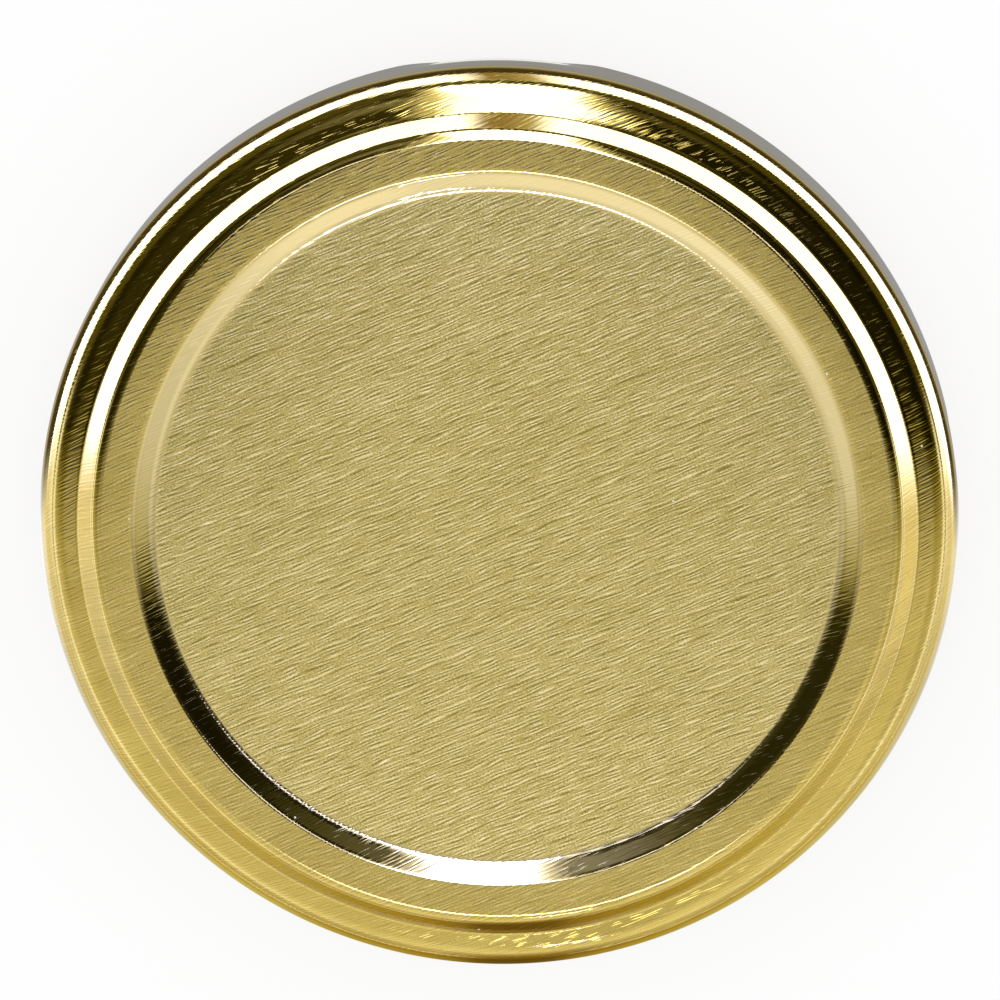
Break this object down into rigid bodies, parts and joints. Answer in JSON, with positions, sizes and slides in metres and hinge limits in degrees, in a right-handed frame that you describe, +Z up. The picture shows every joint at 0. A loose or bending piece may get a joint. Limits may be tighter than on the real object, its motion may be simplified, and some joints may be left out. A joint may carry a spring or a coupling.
{
  "type": "twist-off jar lid",
  "caption": "Gold-lacquered tinplate twist-off jar lid with a raised land round a recessed panel, a rolled rim with pressed lugs and a flowed-in sealing ring.",
  "frame": {"origin": "centre of the rolled rim's underside, the plane that the lid lies on", "axes": "+Z up through the top of the lid along its axis, +X through the middle of a lug, +Y through the middle of the next lug"},
  "size_m": [0.0696, 0.0696, 0.01],
  "materials": {
    "lid_shell": "gloss",
    "sealing_ring": "satin"
  },
  "bodies": {
    "root": {"lid_shell": "lid_shell", "sealing_ring": "sealing_ring"}
  },
  "joints": []
}
